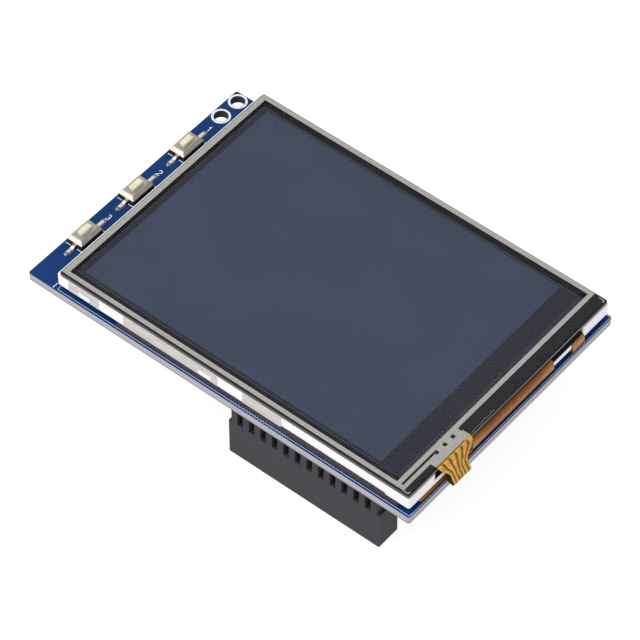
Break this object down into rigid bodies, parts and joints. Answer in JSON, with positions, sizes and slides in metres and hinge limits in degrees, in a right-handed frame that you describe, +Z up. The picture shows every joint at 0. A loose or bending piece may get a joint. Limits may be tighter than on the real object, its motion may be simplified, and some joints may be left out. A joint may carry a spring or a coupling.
{
  "type": "tft display module",
  "caption": "Colour display board with a resistive touch panel, side push buttons and a tall plug-on pin socket below.",
  "frame": {"origin": "middle of the pin socket's lower, mating face", "axes": "+Z up through the screen, away from the mating face; +X along the board towards the flex cable end; +Y across the board, away from the socket's long edge"},
  "size_m": [0.0864, 0.0564, 0.0194],
  "materials": {
    "solder_mask_board": "satin solder mask over a woven glass and resin board",
    "socket_plastic": "moulded, matt",
    "contact_metal": "plated",
    "solder": "bright tin",
    "foam_tape": "open, rough",
    "frame_plastic": "moulded, white, satin",
    "backlight_film": "satin film",
    "light_guide_acrylic": "polished, clear",
    "led_package": "yellow phosphor in a white cup",
    "brown_flex": "polyimide film over copper",
    "gold_flex": "polyimide film over copper",
    "black_tape": "black adhesive tape",
    "rear_polarizer": "satin film",
    "display_surface": "dark glossy film",
    "lcd_glass": "polished, thin",
    "chip_moulding": "moulded epoxy",
    "side_tape": "pale satin tape",
    "touch_glass": "polished, ground edge",
    "touch_film": "clear hard-coated film",
    "silver_print": "screen-printed silver ink, matt",
    "switch_base": "moulded, black",
    "switch_shell": "plated sheet, satin",
    "switch_key": "moulded, ivory",
    "spring_steel": "stainless spring sheet",
    "tinned_lead": "tin plated",
    "resistor_ceramic": "coated ceramic",
    "capacitor_ceramic": "fired ceramic"
  },
  "bodies": {
    "board": {"pcb": "solder_mask_board", "header_housing": "socket_plastic", "header_contacts": "contact_metal", "header_solder": "solder", "foam_tape_front": "foam_tape", "foam_tape_rear": "foam_tape", "backlight_frame": "frame_plastic", "reflector": "backlight_film", "light_guide": "light_guide_acrylic", "diffuser": "backlight_film", "prism_films": "backlight_film", "leds": "led_package", "backlight_flex": "brown_flex", "rim_tape": "black_tape", "rear_polarizer": "rear_polarizer", "rear_glass": "lcd_glass", "front_glass": "lcd_glass", "front_polarizer": "display_surface", "driver_chip": "chip_moulding", "lcd_flex": "brown_flex", "side_tapes": "side_tape", "touch_gasket": "black_tape", "touch_glass": "touch_glass", "touch_bars": "silver_print", "touch_spacer": "black_tape", "touch_film": "touch_film", "touch_tail": "gold_flex", "switch_1_base": "switch_base", "switch_1_shell": "switch_shell", "switch_1_dome": "spring_steel", "switch_1_leads": "tinned_lead", "switch_2_base": "switch_base", "switch_2_shell": "switch_shell", "switch_2_dome": "spring_steel", "switch_2_leads": "tinned_lead", "switch_3_base": "switch_base", "switch_3_shell": "switch_shell", "switch_3_dome": "spring_steel", "switch_3_leads": "tinned_lead", "switch_solder": "solder", "logic_chips": "chip_moulding", "logic_chip_leads": "tinned_lead", "touch_controller": "chip_moulding", "touch_controller_leads": "tinned_lead", "regulator": "chip_moulding", "regulator_leads": "tinned_lead", "dimmer_transistor": "chip_moulding", "dimmer_transistor_leads": "tinned_lead", "chip_resistors": "resistor_ceramic", "chip_capacitors": "capacitor_ceramic", "chip_caps": "tinned_lead"},
    "key_1": {"switch_1_key": "switch_key"},
    "key_2": {"switch_2_key": "switch_key"},
    "key_3": {"switch_3_key": "switch_key"}
  },
  "joints": [
    {"name": "key_1_press", "type": "slide", "parent": "board", "child": "key_1", "axis": [0, 0, -1], "range_m": [0, 0.00025], "stiffness_N_per_m": 6000, "deforming": ["switch_1_dome"]},
    {"name": "key_2_press", "type": "slide", "parent": "board", "child": "key_2", "axis": [0, 0, -1], "range_m": [0, 0.00025], "stiffness_N_per_m": 6000, "deforming": ["switch_2_dome"]},
    {"name": "key_3_press", "type": "slide", "parent": "board", "child": "key_3", "axis": [0, 0, -1], "range_m": [0, 0.00025], "stiffness_N_per_m": 6000, "deforming": ["switch_3_dome"]}
  ]
}
